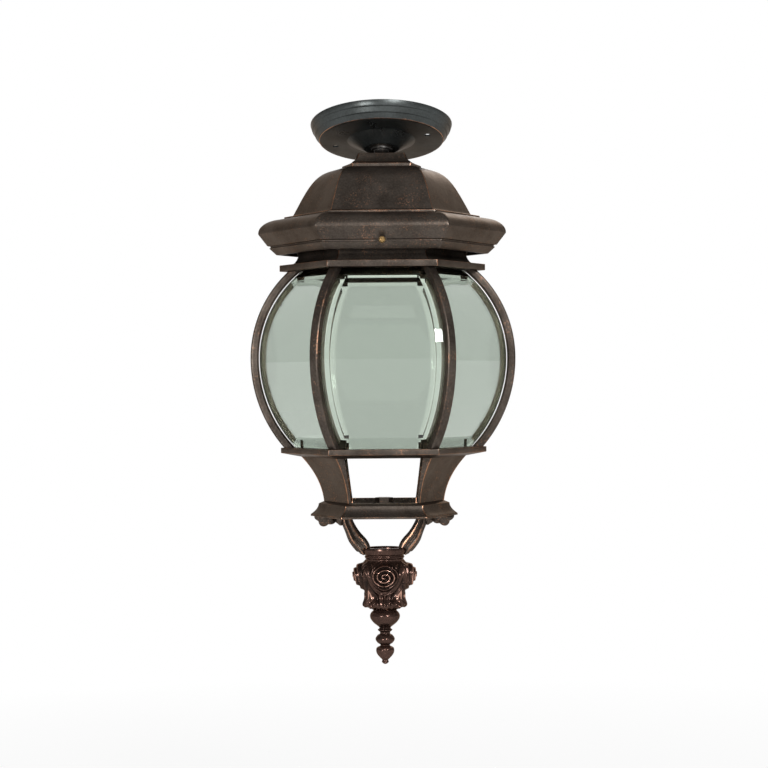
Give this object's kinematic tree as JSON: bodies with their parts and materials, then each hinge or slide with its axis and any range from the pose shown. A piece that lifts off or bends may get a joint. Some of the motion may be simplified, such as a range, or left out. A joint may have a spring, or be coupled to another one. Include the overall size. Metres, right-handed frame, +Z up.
{
  "type": "porch ceiling lantern",
  "caption": "Six-sided porch ceiling lantern: sloping canopy on a ball swivel, hollow roof, bowed glazed cage that drops for relamping, open basket, scroll arms and finial.",
  "frame": {"origin": "centre of the canopy's rim, on the ceiling", "axes": "+Z up, lantern hangs plumb along -Z; -Y is the front, where the first thumbscrew is; the ceiling's face leans back about X by the canopy's slope"},
  "size_m": [0.2646, 0.2324, 0.5568],
  "materials": {
    "bronze": "antique bronze powder coat, copper showing on worn edges",
    "canopy_bronze": "charcoal bronze, satin, thin copper line at the edge",
    "finial_bronze": "antique bronze with redder rubbed highlights",
    "bevelled_glass": "clear bent glass, three millimetres, bevelled edges",
    "brass": "turned brass",
    "zinc_steel": "zinc plated",
    "black_plastic": "moulded, matt",
    "white_plastic": "moulded, half gloss",
    "white_ceramic": "glazed insulator"
  },
  "bodies": {
    "canopy": {"canopy_dish": "canopy_bronze", "terminal_block": "white_plastic", "earth_stud": "brass"},
    "swivel_seat": {"swivel_seat": "zinc_steel", "swivel_retainer": "zinc_steel"},
    "lantern": {"swivel_ball": "zinc_steel", "swivel_pins": "zinc_steel", "stem_nipple": "zinc_steel", "stem_washer": "zinc_steel", "stem_nut": "zinc_steel", "roof_dome": "bronze", "lampholder_cap": "black_plastic", "lampholder_body": "black_plastic", "lampholder_insulator": "white_ceramic", "lampholder_sleeve": "brass", "lampholder_contact": "brass"},
    "thumbscrew_1": {"thumbscrew_1": "brass"},
    "thumbscrew_2": {"thumbscrew_2": "brass"},
    "thumbscrew_3": {"thumbscrew_3": "brass"},
    "cage": {"arm_bridge": "bronze", "base_plate": "bronze", "basket_side_left": "bronze", "basket_side_right": "bronze", "bottom_clips": "bronze", "bottom_flange": "bronze", "cage_top_ring": "bronze", "cap_nut": "bronze", "centre_stud": "zinc_steel", "finial_cup": "finial_bronze", "finial_spindle": "finial_bronze", "glass_pane_1": "bevelled_glass", "glass_pane_2": "bevelled_glass", "glass_pane_3": "bevelled_glass", "glass_pane_4": "bevelled_glass", "glass_pane_5": "bevelled_glass", "glass_pane_6": "bevelled_glass", "glass_retainer_1": "bronze", "glass_retainer_2": "bronze", "glass_retainer_3": "bronze", "glass_retainer_4": "bronze", "glass_retainer_5": "bronze", "glass_retainer_6": "bronze", "glass_stop_ring": "bronze", "rib_1": "bronze", "rib_2": "bronze", "rib_3": "bronze", "rib_4": "bronze", "rib_5": "bronze", "rib_6": "bronze", "ring_lugs": "bronze", "scroll_arm_left": "bronze", "scroll_arm_right": "bronze"}
  },
  "joints": [
    {"name": "swivel_turn", "type": "hinge", "parent": "canopy", "child": "swivel_seat", "pos_m": [0, -0.00554, -0.02222], "axis": [0, 0.2419, 0.9703], "range_deg": [-170, 170]},
    {"name": "swivel_tilt", "type": "hinge", "parent": "swivel_seat", "child": "lantern", "pos_m": [0, -0.00554, -0.02222], "axis": [1, 0, 0], "range_deg": [-32, 4]},
    {"name": "cage_drop", "type": "slide", "parent": "lantern", "child": "cage", "axis": [0, 0, -1], "range_m": [0, 0.12]},
    {"name": "thumbscrew_1_out", "type": "slide", "parent": "lantern", "child": "thumbscrew_1", "axis": [0, -1, 0], "range_m": [0, 0.008]},
    {"name": "thumbscrew_2_out", "type": "slide", "parent": "lantern", "child": "thumbscrew_2", "axis": [0.866, 0.5, 0], "range_m": [0, 0.008]},
    {"name": "thumbscrew_3_out", "type": "slide", "parent": "lantern", "child": "thumbscrew_3", "axis": [-0.866, 0.5, 0], "range_m": [0, 0.008]}
  ]
}
